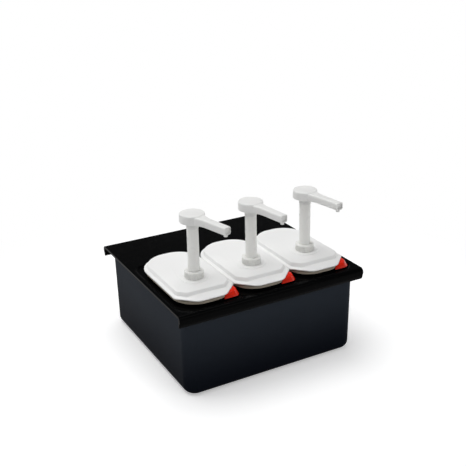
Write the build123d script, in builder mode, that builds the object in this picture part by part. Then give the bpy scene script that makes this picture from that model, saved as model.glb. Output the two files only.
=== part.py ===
from build123d import *
import math
import os

# Condiment dispenser set: a box with a lift-off deck that carries three pump jars in a row.
# Millimetres. X runs left to right along the front, Y to the back, Z up.
# The origin is on the table, under the middle of the box.

# Deck: the lands are the flat brim beside, before and behind the basin
deck_top = 170.0
side_land = 9.2
front_land = 8.0
back_land = 128.5
brim_thickness = 4.3
seat_step = 4.2
basin_depth = 3.0
basin_margin = 5.5
basin_corner = 26.0
basin_edge_round = 0.8
opening_clearance = 1.5
curb_height = 4.5
curb_inset = 5.5
lip_height = 21.7
lip_bulge = 6.0
lip_bulge_drop = 10.0
lip_foot_out = 3.6
lip_inner_out = 1.0
lip_end_round = 2.6
rib_thickness = 2.5
rib_depth = 6.0
rib_clearance = 1.0
pocket_margin = 14.0

# Housing
side_overhang = 13.4
hook_gap = 0.7
housing_wall = 3.5
housing_draft = 2.2
housing_corner = 24.0
housing_bottom_round = 15.0

# Stations, from left to right, with the angle of each spout towards the right of straight ahead
lid_spacing = 0.9
spout_turn = {"left": 16.0, "centre": 11.0, "right": 11.0}

# Lid: an oblong with a thin flange, a raised plateau and a boss round the pump
lid_width = 119.6
lid_depth = 210.5
lid_front_flat = 9.8
lid_back_flat = 5.8
lid_rise = 9.5
lid_edge_thickness = 2.0
lid_edge_round = 0.7
flange_rise = 3.6
flange_side = 10.0
flange_front = 23.0
plateau_step = 4.6
plateau_lean = 2.0
shoulder_side = 26.0
shoulder_front = 34.0
shoulder_rise = 1.8
plateau_round = 1.6
lid_shell = 2.6
hollow_side = 16.0
hollow_front = 26.0
skirt_clearance = 0.4
skirt_thickness = 2.0
skirt_depth = 5.0
boss_radius = 27.0
boss_height = 1.5
boss_round = 1.0

# Jar: hangs in the deck by its flange, with a neck that carries the lid
jar_body_inset = 10.0
jar_wall = 3.0
jar_draft = 3.0
jar_floor_gap = 8.0
jar_bottom_round = 10.0
jar_flange_inset = 4.0
jar_flange_thickness = 4.0

# Corner tab: sits on the jar flange and is held by a peg
tab_neck_gap = 0.3
tab_side_out = 0.7
tab_front_inset = 4.0
tab_lid_gap = 0.5
tab_height = 9.5
tab_slope = 4.5
tab_corner = 13.0
tab_round = 0.8
tab_start_angle = -22.0
tab_end_angle = -66.0
peg_radius = 2.0
peg_clearance = 0.05
peg_length = 3.2

# Pump, from the collar down to the dip tube
pump_from_front = 72.5
stem_radius = 10.75
stem_clearance = 0.3
neck_radius = 15.0
neck_clearance = 0.3
neck_height = 10.0
collar_wall = 2.2
collar_height = 13.5
collar_top_thickness = 3.2
collar_ring_height = 3.0
collar_ring_radius = 18.0
knurl_count = 24
knurl_size = 1.7
bore_radius = 12.5
barrel_wall = 2.0
running_clearance = 0.1
gasket_radius = 18.0
gasket_thickness = 1.5
barrel_flange_radius = 19.0
barrel_flange_thickness = 3.0
bush_flange_radius = 13.6
bush_flange_thickness = 2.0
bush_length = 11.0
stroke = 75.0
seal_length = 10.7
seal_core_radius = 8.5
piston_stop_gap = 0.3
foot_radius = 11.6
foot_thickness = 3.0
foot_spigot_radius = 7.4
foot_spigot_height = 2.0
outlet_seat_radius = 3.5
outlet_ball_radius = 5.0
outlet_chamber_radius = 7.5
stem_passage_radius = 4.6
ball_travel = 3.0
ball_gap = 0.2
spring_wire_radius = 0.8
spring_coil_radius = 10.2
spring_turns = 7
spring_end_gap = 0.05
spring_closed_spare = 6.0
cage_thickness = 4.0
cage_hole_radius = 1.6
cage_hole_count = 6
cage_hole_circle = 4.6
inlet_chamber_radius = 8.0
inlet_ball_radius = 6.0
inlet_seat_radius = 4.0
inlet_floor = 2.0
spigot_radius = 6.5
spigot_length = 14.0
dip_wall = 1.6
dip_clearance = 0.05
dip_floor_gap = 4.5
dip_cut_angle = 35.0

# Head: a round press knob with a neck over the stem and a spout
head_radius = 23.5
head_height = 15.0
head_top_rise = 148.5
head_round = 2.2
head_neck_length = 14.5
head_neck_radius = 11.4
head_neck_flare = 12.4
groove_depth = 0.5
groove_height = 1.3
groove_count = 3
socket_radius = 8.6
socket_gap = 0.1
socket_depth_in_head = 2.5
spout_reach = 91.0
spout_height = 13.0
spout_tip_height = 12.4
spout_top_drop = 3.0
spout_tip_drop = 3.8
spout_root = 8.0
spout_root_width = 31.0
spout_flow = 24.0
spout_flow_width = 21.5
spout_waist = 40.0
spout_waist_width = 17.5
spout_tip_width = 15.5
spout_corner = 3.6
channel_radius = 3.6
nozzle_back = 5.5
nozzle_radius = 3.5
nozzle_bore_radius = 2.3
nozzle_drop = 3.4
tip_pocket_width = 10.5
tip_pocket_height = 7.5
tip_pocket_depth = 2.2
tip_pocket_corner = 2.0

# Levels that follow from the sizes above
brim_underside = deck_top - brim_thickness
housing_top = brim_underside - seat_step
basin_floor = deck_top - basin_depth
curb_top = basin_floor + curb_height
flange_top = curb_top + jar_flange_thickness
lid_seat = deck_top + lid_rise
tab_top = lid_seat - tab_lid_gap
tab_bottom = tab_top - tab_height
lid_edge_top = lid_seat + lid_edge_thickness
plateau_foot = lid_edge_top + flange_rise
plateau_edge = plateau_foot + plateau_step
plateau_top = plateau_edge + shoulder_rise
lid_roof = plateau_edge - lid_shell
boss_top = plateau_top + boss_height
jar_bottom = housing_wall + jar_floor_gap
jar_floor = jar_bottom + jar_wall
flange_underside = lid_roof - gasket_thickness - barrel_flange_thickness
barrel_top = boss_top + neck_height
collar_top = boss_top + collar_height
bush_bottom = barrel_top - bush_length
seal_top = bush_bottom - piston_stop_gap
seal_bottom = seal_top - seal_length
foot_bottom = seal_bottom - foot_thickness
foot_spigot_top = seal_bottom + foot_spigot_height
spring_closed = 2 * spring_wire_radius * spring_turns + spring_closed_spare
cage_top = foot_bottom - stroke - spring_closed
cage_bottom = cage_top - cage_thickness
outlet_ball_rise = math.sqrt(outlet_ball_radius**2 - outlet_seat_radius**2) + ball_gap
outlet_ball_z = foot_spigot_top + outlet_ball_rise
outlet_stop = outlet_ball_z + outlet_ball_radius + ball_travel + ball_gap
inlet_ball_rise = math.sqrt(inlet_ball_radius**2 - inlet_seat_radius**2) + ball_gap
inlet_ball_z = cage_bottom - ball_gap - ball_travel - inlet_ball_radius
inlet_seat = inlet_ball_z - inlet_ball_rise
inlet_underside = inlet_seat - inlet_floor
spigot_bottom = inlet_underside - spigot_length
dip_bottom = jar_floor + dip_floor_gap
head_top = deck_top + head_top_rise
head_underside = head_top - head_height
head_neck_bottom = head_underside - head_neck_length
stem_shoulder = head_neck_bottom - stem_clearance
socket_top = head_underside + socket_depth_in_head

# Plan sizes that follow
pitch = lid_width + lid_spacing
station_x = {"left": -pitch, "centre": 0.0, "right": pitch}
deck_width = 2 * (pitch + lid_width / 2 + basin_margin + side_land)
deck_depth = lid_depth + 2 * basin_margin + front_land + back_land
lid_front = front_land + basin_margin - deck_depth / 2
lid_back = lid_front + lid_depth
pump_y = lid_front + pump_from_front
housing_width = deck_width - 2 * side_overhang
lip_inner = deck_depth / 2 + lip_inner_out
housing_depth = 2 * (lip_inner - hook_gap)
lid_half = lid_width / 2
lid_front_corner = lid_half - lid_front_flat
lid_back_corner = lid_half - lid_back_flat
opening_inset = jar_body_inset - opening_clearance
barrel_radius = bore_radius + barrel_wall
collar_radius = neck_radius + collar_wall

os.makedirs("parts", exist_ok=True)


def save(builder, name):
    """Label a finished piece and write it as its own STEP file."""
    builder.part.label = name
    export_step(builder.part, f"parts/{name}.step")


def rounded_rectangle(width, depth, radius, middle_y=0.0):
    """Draw a rectangle about X = 0 with four equal rounded corners."""
    with Locations((0, middle_y)):
        RectangleRounded(width, depth, radius)


def oblong(side, front=None, back=None):
    """Draw the lid's outline moved inwards, in a sketch whose origin is the station's centre line."""
    front = side if front is None else front
    back = side if back is None else back
    low = lid_front + front
    high = lid_back - back
    with Locations((0, (low + high) / 2)):
        Rectangle(lid_width - 2 * side, high - low)
    fillet(vertices().group_by(Axis.Y)[0], lid_front_corner - (side + front) / 2)
    fillet(vertices().group_by(Axis.Y)[-1], lid_back_corner - (side + back) / 2)


def station_plane(x, z):
    """Return the level plane at height z whose origin is on a station's centre line."""
    return Plane(origin=(x, 0, z))


def pump_plane(x, z, turn=0.0):
    """Return the level plane on a pump's axis, turned so that its X points along the spout."""
    angle = math.radians(turn)
    return Plane(origin=(x, pump_y, z), x_dir=(math.sin(angle), -math.cos(angle), 0), z_dir=(0, 0, 1))


def pump_section(x):
    """Return the upright plane through a pump's axis, for profiles that are revolved about it."""
    return Plane(origin=(x, pump_y, 0), x_dir=(1, 0, 0), z_dir=(0, -1, 0))


def pump_axis(x):
    """Return the vertical axis of a pump."""
    return Axis((x, pump_y, 0), (0, 0, 1))


def turned(x, outline):
    """Revolve a closed outline of (radius, height) points about a pump's axis."""
    with BuildSketch(pump_section(x)) as section:
        with BuildLine():
            Polyline(*outline, close=True)
        make_face()
    revolve(section.sketch, axis=pump_axis(x))


# Housing: an open box with drafted walls and a rounded bottom edge
with BuildPart() as housing_cavity:
    with BuildSketch(Plane.XY.offset(housing_wall)):
        rounded_rectangle(
            housing_width - 2 * (housing_draft + housing_wall),
            housing_depth - 2 * (housing_draft + housing_wall),
            housing_corner - housing_wall,
        )
    with BuildSketch(Plane.XY.offset(housing_top)):
        rounded_rectangle(
            housing_width - 2 * housing_wall,
            housing_depth - 2 * housing_wall,
            housing_corner - housing_wall,
        )
    loft(ruled=True)
    fillet(faces().sort_by(Axis.Z)[0].edges(), housing_bottom_round - housing_wall)

with BuildPart() as housing:
    with BuildSketch(Plane.XY):
        rounded_rectangle(
            housing_width - 2 * housing_draft, housing_depth - 2 * housing_draft, housing_corner
        )
    with BuildSketch(Plane.XY.offset(housing_top)):
        rounded_rectangle(housing_width, housing_depth, housing_corner)
    loft(ruled=True)
    fillet(faces().sort_by(Axis.Z)[0].edges(), housing_bottom_round)
    add(housing_cavity.part, mode=Mode.SUBTRACT)
save(housing, "housing")

# Deck: a flat brim with a seat that stands on the housing, a basin, three curbed openings and two lips
with BuildPart() as deck:
    with BuildSketch(Plane.XY.offset(brim_underside)):
        Rectangle(deck_width, deck_depth)
    extrude(amount=brim_thickness)
    with BuildSketch(Plane.XY.offset(housing_top)):
        rounded_rectangle(housing_width + 2 * hook_gap, 2 * lip_inner, housing_corner + hook_gap)
    extrude(amount=seat_step)
    for side in (1, -1):
        with BuildSketch(Plane(origin=(-deck_width / 2, 0, 0), x_dir=(0, side, 0), z_dir=(side, 0, 0))):
            with BuildLine():
                start = (deck_depth / 2, deck_top)
                widest = (deck_depth / 2 + lip_bulge, deck_top - lip_bulge_drop)
                foot = (deck_depth / 2 + lip_foot_out, deck_top - lip_height)
                upper = (deck_depth / 2 + 0.73 * lip_bulge, deck_top - 0.32 * lip_bulge_drop)
                lower = (deck_depth / 2 + 0.93 * lip_bulge, deck_top - 0.78 * lip_height)
                ThreePointArc(start, upper, widest)
                ThreePointArc(widest, lower, foot)
                Polyline(
                    foot,
                    (lip_inner, deck_top - lip_height),
                    (lip_inner, brim_underside),
                    (deck_depth / 2 - brim_thickness, brim_underside),
                    (deck_depth / 2 - brim_thickness, deck_top),
                    start,
                )
            make_face()
        extrude(amount=side * deck_width)
    ends = faces().filter_by(Axis.X).group_by(Axis.X)
    fillet(ends[0].edges().group_by(Axis.Y)[0] + ends[0].edges().group_by(Axis.Y)[-1], lip_end_round)
    fillet(ends[-1].edges().group_by(Axis.Y)[0] + ends[-1].edges().group_by(Axis.Y)[-1], lip_end_round)
    with BuildSketch(Plane.XY.offset(basin_floor)):
        rounded_rectangle(
            2 * (pitch + lid_half + basin_margin),
            lid_depth + 2 * basin_margin,
            basin_corner,
            (lid_front + lid_back) / 2,
        )
    extrude(amount=basin_depth, mode=Mode.SUBTRACT)
    basin_bottom = faces().filter_by(Axis.Z).filter_by_position(Axis.Z, basin_floor, basin_floor)
    fillet(basin_bottom.edges(), 0.95 * basin_depth)
    top_edges = edges().filter_by_position(Axis.Z, deck_top, deck_top)
    between_sides = top_edges.filter_by_position(Axis.X, 1 - deck_width / 2, deck_width / 2 - 1)
    basin_rim = between_sides.filter_by_position(
        Axis.Y, lid_front - 2 * basin_margin, lid_back + 2 * basin_margin
    )
    fillet(basin_rim, basin_edge_round)
    for x in station_x.values():
        with BuildSketch(station_plane(x, basin_floor)):
            oblong(curb_inset)
        extrude(amount=curb_height)
        with BuildSketch(station_plane(x, housing_top)):
            oblong(opening_inset)
        extrude(amount=curb_top - housing_top, mode=Mode.SUBTRACT)
    pocket_front = lid_back - opening_inset + pocket_margin
    pocket_back = housing_depth / 2 - housing_wall - pocket_margin
    with BuildSketch(Plane.XY.offset(housing_top)):
        rounded_rectangle(
            housing_width - 2 * (housing_wall + pocket_margin),
            pocket_back - pocket_front,
            basin_corner / 2,
            (pocket_front + pocket_back) / 2,
        )
    extrude(amount=seat_step, mode=Mode.SUBTRACT)
    with BuildSketch(Plane.XY.offset(housing_top)):
        rib_inset = housing_wall + rib_clearance
        rounded_rectangle(
            housing_width - 2 * rib_inset, housing_depth - 2 * rib_inset, housing_corner - rib_inset
        )
        offset(amount=-rib_thickness, mode=Mode.SUBTRACT)
    extrude(amount=-rib_depth)
save(deck, "deck")

for station, x in station_x.items():
    # Place of the corner tab's peg, about the centre of the lid's front right corner
    corner_x = x + lid_half - lid_front_corner
    corner_y = lid_front + lid_front_corner
    peg_angle = (tab_start_angle + tab_end_angle) / 2
    flange_corner = lid_front_corner - jar_flange_inset
    tab_inner = lid_front_corner - jar_body_inset + tab_neck_gap
    peg_circle = (tab_inner + flange_corner) / 2

    with BuildPart() as peg_hole:
        with BuildSketch(Plane(origin=(corner_x, corner_y, curb_top))):
            with PolarLocations(peg_circle, 1, start_angle=peg_angle):
                Circle(peg_radius + peg_clearance)
        extrude(amount=jar_flange_thickness)

    # Jar: a tapered oblong tub with a flange on the deck's curb and a neck under the lid
    with BuildPart() as jar_inside:
        with BuildSketch(station_plane(x, jar_floor)):
            oblong(jar_body_inset + jar_draft + jar_wall)
        with BuildSketch(station_plane(x, curb_top)):
            oblong(jar_body_inset + jar_wall)
        loft(ruled=True)
        fillet(faces().sort_by(Axis.Z)[0].edges(), jar_bottom_round - jar_wall)
        extrude(faces().sort_by(Axis.Z)[-1], amount=lid_seat - curb_top)

    with BuildPart() as jar:
        with BuildSketch(station_plane(x, jar_bottom)):
            oblong(jar_body_inset + jar_draft)
        with BuildSketch(station_plane(x, curb_top)):
            oblong(jar_body_inset)
        loft(ruled=True)
        fillet(faces().sort_by(Axis.Z)[0].edges(), jar_bottom_round)
        extrude(faces().sort_by(Axis.Z)[-1], amount=lid_seat - curb_top)
        with BuildSketch(station_plane(x, curb_top)):
            oblong(jar_flange_inset)
        extrude(amount=jar_flange_thickness)
        add(jar_inside.part, mode=Mode.SUBTRACT)
        add(peg_hole.part, mode=Mode.SUBTRACT)
    save(jar, f"{station}_jar")

    # Corner tab: a rounded lug beside the jar flange, with a jaw on top of it and a peg into it
    with BuildPart() as flange_room:
        with BuildSketch(Plane(origin=(corner_x, corner_y, tab_bottom))):
            Circle(flange_corner + peg_clearance)
        extrude(amount=flange_top - tab_bottom)

    with BuildPart() as corner_tab:
        for height, slope in ((0.0, 0.0), (tab_height, tab_slope)):
            with BuildSketch(Plane(origin=(corner_x, corner_y, tab_bottom + height))):
                with BuildLine():
                    inner = CenterArc((0, 0), tab_inner, tab_end_angle, tab_start_angle - tab_end_angle)
                    right = lid_front_corner + tab_side_out - slope
                    low = tab_front_inset - lid_front_corner + slope
                    FilletPolyline(
                        inner @ 1,
                        (right, (inner @ 1).Y - slope),
                        (right, low),
                        ((inner @ 0).X + slope, low),
                        inner @ 0,
                        radius=(tab_corner / 4, tab_corner - slope, tab_corner / 4),
                    )
                make_face()
        loft(ruled=True)
        add(flange_room.part, mode=Mode.SUBTRACT)
        fillet(faces().sort_by(Axis.Z)[-1].edges(), tab_round)
        with BuildSketch(Plane(origin=(corner_x, corner_y, flange_top))):
            with PolarLocations(peg_circle, 1, start_angle=peg_angle):
                Circle(peg_radius)
        extrude(amount=-peg_length)
    save(corner_tab, f"{station}_corner_tab")

    # Lid: flange, sloped step, shoulder and flat top, with a hollow and a skirt underneath
    with BuildPart() as lid:
        with BuildSketch(station_plane(x, lid_seat)):
            oblong(0.0)
        extrude(amount=lid_edge_thickness)
        fillet(faces().sort_by(Axis.Z)[-1].edges(), lid_edge_round)
        levels = (
            (lid_edge_top, lid_edge_round, lid_edge_round),
            (plateau_foot, flange_side, flange_front),
            (plateau_edge, flange_side + plateau_lean, flange_front + plateau_lean),
            (plateau_top, shoulder_side, shoulder_front),
        )
        for below, above in zip(levels, levels[1:]):
            for height, inset, front in (below, above):
                with BuildSketch(station_plane(x, height)):
                    oblong(inset, front)
            loft(ruled=True)
        fillet(edges().filter_by_position(Axis.Z, plateau_edge, plateau_edge), plateau_round)
        with BuildSketch(pump_plane(x, plateau_top)):
            Circle(boss_radius)
        extrude(amount=boss_height)
        fillet(faces().sort_by(Axis.Z)[-1].edges(), boss_round)
        with BuildSketch(station_plane(x, lid_seat)):
            oblong(hollow_side, hollow_front)
        with BuildSketch(station_plane(x, lid_roof)):
            oblong(hollow_side + plateau_lean, hollow_front + plateau_lean)
        loft(ruled=True, mode=Mode.SUBTRACT)
        with BuildSketch(station_plane(x, lid_seat)):
            oblong(jar_body_inset + jar_wall + skirt_clearance)
            offset(amount=-skirt_thickness, mode=Mode.SUBTRACT)
        extrude(amount=-skirt_depth)
        with BuildSketch(pump_plane(x, lid_roof)):
            Circle(neck_radius + neck_clearance)
        extrude(amount=boss_top - lid_roof, mode=Mode.SUBTRACT)
    save(lid, f"{station}_lid")

    # Gasket between the lid and the barrel's flange
    with BuildPart() as gasket:
        with BuildSketch(pump_plane(x, lid_roof - gasket_thickness)):
            Circle(gasket_radius)
            Circle(neck_radius + neck_clearance, mode=Mode.SUBTRACT)
        extrude(amount=gasket_thickness)
    save(gasket, f"{station}_gasket")

    # Cylinder: barrel with a neck through the lid, a valve chamber and a spigot at its foot
    with BuildPart() as cylinder:
        outside = (
            (0, barrel_top),
            (neck_radius, barrel_top),
            (neck_radius, flange_underside + barrel_flange_thickness),
            (barrel_flange_radius, flange_underside + barrel_flange_thickness),
            (barrel_flange_radius, flange_underside),
            (barrel_radius, flange_underside),
            (barrel_radius, cage_bottom),
            (inlet_chamber_radius + barrel_wall, cage_bottom - barrel_wall),
            (inlet_chamber_radius + barrel_wall, inlet_underside),
            (spigot_radius, inlet_underside),
            (spigot_radius, spigot_bottom),
            (0, spigot_bottom),
        )
        turned(x, outside)
        bores = (
            (barrel_top, bush_flange_radius + running_clearance, bush_flange_thickness),
            (barrel_top, bore_radius, barrel_top - cage_bottom),
            (cage_bottom, inlet_chamber_radius, cage_bottom - inlet_seat),
            (inlet_seat, inlet_seat_radius, inlet_seat - spigot_bottom),
        )
        for top, radius, depth in bores:
            with BuildSketch(pump_plane(x, top)):
                Circle(radius)
            extrude(amount=-depth, mode=Mode.SUBTRACT)
    save(cylinder, f"{station}_cylinder")

    # Guide bush: fills the top of the bore round the stem, and stops the piston
    with BuildPart() as guide_bush:
        with BuildSketch(pump_plane(x, barrel_top)):
            Circle(bush_flange_radius)
        extrude(amount=-bush_flange_thickness)
        with BuildSketch(pump_plane(x, barrel_top)):
            Circle(bore_radius - running_clearance)
        extrude(amount=-bush_length)
        with BuildSketch(pump_plane(x, barrel_top)):
            Circle(stem_radius + stem_clearance)
        extrude(amount=-bush_length, mode=Mode.SUBTRACT)
    save(guide_bush, f"{station}_guide_bush")

    # Collar: knurled nut over the neck, closed at the top round the stem
    with BuildPart() as collar:
        with BuildSketch(pump_plane(x, boss_top)):
            Circle(collar_radius)
            with PolarLocations(collar_radius, knurl_count):
                Rectangle(knurl_size, knurl_size)
        extrude(amount=collar_height - collar_ring_height)
        with BuildSketch(pump_plane(x, collar_top - collar_ring_height)):
            Circle(collar_ring_radius)
        extrude(amount=collar_ring_height)
        fillet(faces().sort_by(Axis.Z)[-1].edges(), collar_ring_height / 4)
        with BuildSketch(pump_plane(x, boss_top)):
            Circle(neck_radius + neck_clearance)
        extrude(amount=collar_height - collar_top_thickness, mode=Mode.SUBTRACT)
        with BuildSketch(pump_plane(x, collar_top)):
            Circle(stem_radius + stem_clearance)
        extrude(amount=-collar_height, mode=Mode.SUBTRACT)
    save(collar, f"{station}_collar")

    # Stem: tube from the head down to the piston, with the outlet valve chamber at its foot
    with BuildPart() as stem:
        profile = (
            (stem_passage_radius, socket_top),
            (socket_radius - socket_gap, socket_top),
            (socket_radius - socket_gap, stem_shoulder),
            (stem_radius, stem_shoulder),
            (stem_radius, seal_top),
            (seal_core_radius, seal_top),
            (seal_core_radius, seal_bottom),
            (outlet_chamber_radius, seal_bottom),
            (outlet_chamber_radius, outlet_stop),
            (stem_passage_radius, outlet_stop),
        )
        turned(x, profile)
    save(stem, f"{station}_stem")

    # Piston seal: a ring with a waist between two lips
    with BuildPart() as piston_seal:
        lip = bore_radius - running_clearance
        waist = (lip + seal_core_radius) / 2
        profile = (
            (seal_core_radius, seal_top),
            (lip - running_clearance, seal_top),
            (lip, seal_top - seal_length / 4),
            (waist, seal_top - seal_length / 3),
            (waist, seal_bottom + seal_length / 3),
            (lip, seal_bottom + seal_length / 4),
            (lip, seal_bottom),
            (seal_core_radius, seal_bottom),
        )
        turned(x, profile)
    save(piston_seal, f"{station}_piston_seal")

    # Piston foot: plug under the seal, whose top edge is the outlet ball's seat
    with BuildPart() as piston_foot:
        profile = (
            (outlet_seat_radius, foot_bottom),
            (foot_radius, foot_bottom),
            (foot_radius, seal_bottom),
            (foot_spigot_radius, seal_bottom),
            (foot_spigot_radius, foot_spigot_top),
            (outlet_seat_radius, foot_spigot_top),
        )
        turned(x, profile)
    save(piston_foot, f"{station}_piston_foot")

    # Check balls
    for name, radius, height in (
        ("outlet_ball", outlet_ball_radius, outlet_ball_z),
        ("inlet_ball", inlet_ball_radius, inlet_ball_z),
    ):
        with BuildPart(pump_plane(x, height)) as ball:
            Sphere(radius)
        save(ball, f"{station}_{name}")

    # Return spring: round wire wound between the ball cage and the piston foot
    with BuildPart() as return_spring:
        low = cage_top + spring_wire_radius + spring_end_gap
        rise = foot_bottom - spring_wire_radius - spring_end_gap - low
        with BuildLine():
            coil = Helix(rise / spring_turns, rise, spring_coil_radius, center=(x, pump_y, low))
        with BuildSketch(Plane(origin=coil @ 0, z_dir=coil % 0)):
            Circle(spring_wire_radius)
        sweep(is_frenet=True)
    save(return_spring, f"{station}_return_spring")

    # Ball cage: perforated disc on the bore's bottom step
    with BuildPart() as ball_cage:
        with BuildSketch(pump_plane(x, cage_bottom)):
            Circle(bore_radius - running_clearance)
            with PolarLocations(cage_hole_circle, cage_hole_count):
                Circle(cage_hole_radius, mode=Mode.SUBTRACT)
        extrude(amount=cage_thickness)
    save(ball_cage, f"{station}_ball_cage")

    # Dip tube: over the spigot, cut at a slant just above the jar's floor
    with BuildPart() as dip_tube:
        with BuildSketch(pump_plane(x, dip_bottom)):
            Circle(spigot_radius + dip_clearance + dip_wall)
            Circle(spigot_radius + dip_clearance, mode=Mode.SUBTRACT)
        extrude(amount=inlet_underside - dip_bottom)
        tube_radius = spigot_radius + dip_clearance + dip_wall
        slant_rise = tube_radius * math.tan(math.radians(dip_cut_angle))
        slant = Plane(origin=(x, pump_y, dip_bottom + slant_rise)).rotated((dip_cut_angle, 0, 0))
        split(bisect_by=slant, keep=Keep.TOP)
    save(dip_tube, f"{station}_dip_tube")

    # Head: round knob, grooved neck over the stem's top, spout with a channel and a nozzle
    turn = spout_turn[station]
    with BuildPart() as head:
        with BuildSketch(pump_plane(x, head_underside)):
            Circle(head_radius)
        extrude(amount=head_height)
        knob_rims = edges().filter_by(GeomType.CIRCLE)
        fillet(knob_rims, head_round)
        across = pump_plane(x, 0, turn)
        spout_sections = (
            (spout_root, spout_root_width),
            (spout_flow, spout_flow_width),
            (spout_waist, spout_waist_width),
            (spout_reach, spout_tip_width),
        )
        for distance, width in spout_sections:
            share = distance / spout_reach
            height = spout_height + (spout_tip_height - spout_height) * share
            top = head_top - spout_top_drop - (spout_tip_drop - spout_top_drop) * share
            middle = across.from_local_coords(Vector(distance, 0, top - height / 2))
            with BuildSketch(Plane(origin=middle, x_dir=across.y_dir, z_dir=across.x_dir)):
                RectangleRounded(width, height, spout_corner)
        loft()
        tip_middle = head_top - spout_tip_drop - spout_tip_height / 2
        tip_bottom = head_top - spout_tip_drop - spout_tip_height
        neck = [(0, head_underside + head_round), (head_neck_flare, head_underside + head_round)]
        neck.append((head_neck_flare, head_underside))
        neck.append((head_neck_radius, head_underside - 2 * groove_height))
        for number in range(groove_count):
            level = head_underside - (2 + 2 * number) * groove_height
            neck.append((head_neck_radius, level - groove_height / 2))
            neck.append((head_neck_radius - groove_depth, level - groove_height))
            neck.append((head_neck_radius, level - 3 * groove_height / 2))
        neck.append((head_neck_radius, head_neck_bottom))
        neck.append((0, head_neck_bottom))
        turned(x, neck)
        nozzle_distance = spout_reach - nozzle_back
        nozzle_middle = across.from_local_coords(Vector(nozzle_distance, 0, tip_bottom - nozzle_drop))
        with BuildSketch(Plane(origin=nozzle_middle)):
            Circle(nozzle_radius)
        extrude(amount=nozzle_drop + spout_tip_height / 2)
        tip_end = across.from_local_coords(Vector(spout_reach, 0, tip_middle))
        with BuildSketch(Plane(origin=tip_end, x_dir=across.y_dir, z_dir=across.x_dir)):
            RectangleRounded(tip_pocket_width, tip_pocket_height, tip_pocket_corner)
        extrude(amount=-tip_pocket_depth, mode=Mode.SUBTRACT)
        with BuildSketch(pump_plane(x, head_neck_bottom)):
            Circle(socket_radius)
        extrude(amount=socket_top + socket_gap - head_neck_bottom, mode=Mode.SUBTRACT)
        with BuildSketch(pump_plane(x, socket_top)):
            Circle(channel_radius)
        extrude(amount=tip_middle - socket_top, mode=Mode.SUBTRACT)
        channel_start = across.from_local_coords(Vector(0, 0, tip_middle))
        with BuildSketch(Plane(origin=channel_start, x_dir=across.y_dir, z_dir=across.x_dir)):
            Circle(channel_radius)
        extrude(amount=nozzle_distance, mode=Mode.SUBTRACT)
        with BuildSketch(Plane(origin=nozzle_middle)):
            Circle(nozzle_bore_radius)
        extrude(amount=tip_middle - nozzle_middle.Z, mode=Mode.SUBTRACT)
    save(head, f"{station}_head")
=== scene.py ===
"""Condiment dispenser set: moulded surfaces, finishes, studio and camera.

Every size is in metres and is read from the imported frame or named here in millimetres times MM.
"""

import logging
import math
from dataclasses import dataclass
from enum import Enum
from typing import Callable, Dict, List, Optional, Sequence, Tuple, Union

import bmesh
import bpy
from mathutils import Matrix, Vector


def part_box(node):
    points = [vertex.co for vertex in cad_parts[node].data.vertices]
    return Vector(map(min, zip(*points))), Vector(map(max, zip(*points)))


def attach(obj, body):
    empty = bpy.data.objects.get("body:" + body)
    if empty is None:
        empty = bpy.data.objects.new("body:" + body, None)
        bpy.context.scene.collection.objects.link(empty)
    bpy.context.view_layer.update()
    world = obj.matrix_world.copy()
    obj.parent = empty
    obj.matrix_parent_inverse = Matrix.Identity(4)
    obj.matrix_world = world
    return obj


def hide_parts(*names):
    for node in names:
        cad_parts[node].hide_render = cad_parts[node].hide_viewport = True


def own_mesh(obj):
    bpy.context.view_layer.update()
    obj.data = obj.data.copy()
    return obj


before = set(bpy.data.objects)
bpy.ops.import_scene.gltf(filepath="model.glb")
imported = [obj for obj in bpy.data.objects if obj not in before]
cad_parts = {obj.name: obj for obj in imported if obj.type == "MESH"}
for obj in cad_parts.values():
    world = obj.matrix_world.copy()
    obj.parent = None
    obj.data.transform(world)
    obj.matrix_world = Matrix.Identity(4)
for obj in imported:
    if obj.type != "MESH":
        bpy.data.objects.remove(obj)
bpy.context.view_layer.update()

log = logging.getLogger("dispenser")
MM = 0.001
MERGE = 0.01 * MM
FACING = 0.9
Colour = Tuple[float, float, float]
Point = Tuple[float, float]
Place = Tuple[float, float, float]
Rounding = Tuple[float, int]
Socket = bpy.types.NodeSocket
Tone = Union[Colour, Socket]
Test = Callable[[Vector, Vector], bool]
Choice = Callable[[bmesh.types.BMesh], List[object]]


class Station(Enum):
    """The three pump stations, with the angle of each spout to the right of straight ahead."""

    LEFT = ("left", 16.0)
    CENTRE = ("centre", 11.0)
    RIGHT = ("right", 11.0)

    @property
    def turn(self) -> float:
        """Return the spout's angle in radians."""
        return math.radians(self.value[1])

    def node(self, part: str) -> str:
        """Return the name of one of the station's nodes."""
        return f"{self.value[0]}_{part}"


def upright(a: Vector, b: Vector) -> bool:
    """Say whether an edge stands upright."""
    return (a.xy - b.xy).length < MERGE


def close(value: float, goal: float, reach: float = 0.05 * MM) -> bool:
    """Say whether two lengths are alike."""
    return abs(value - goal) < reach


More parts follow.
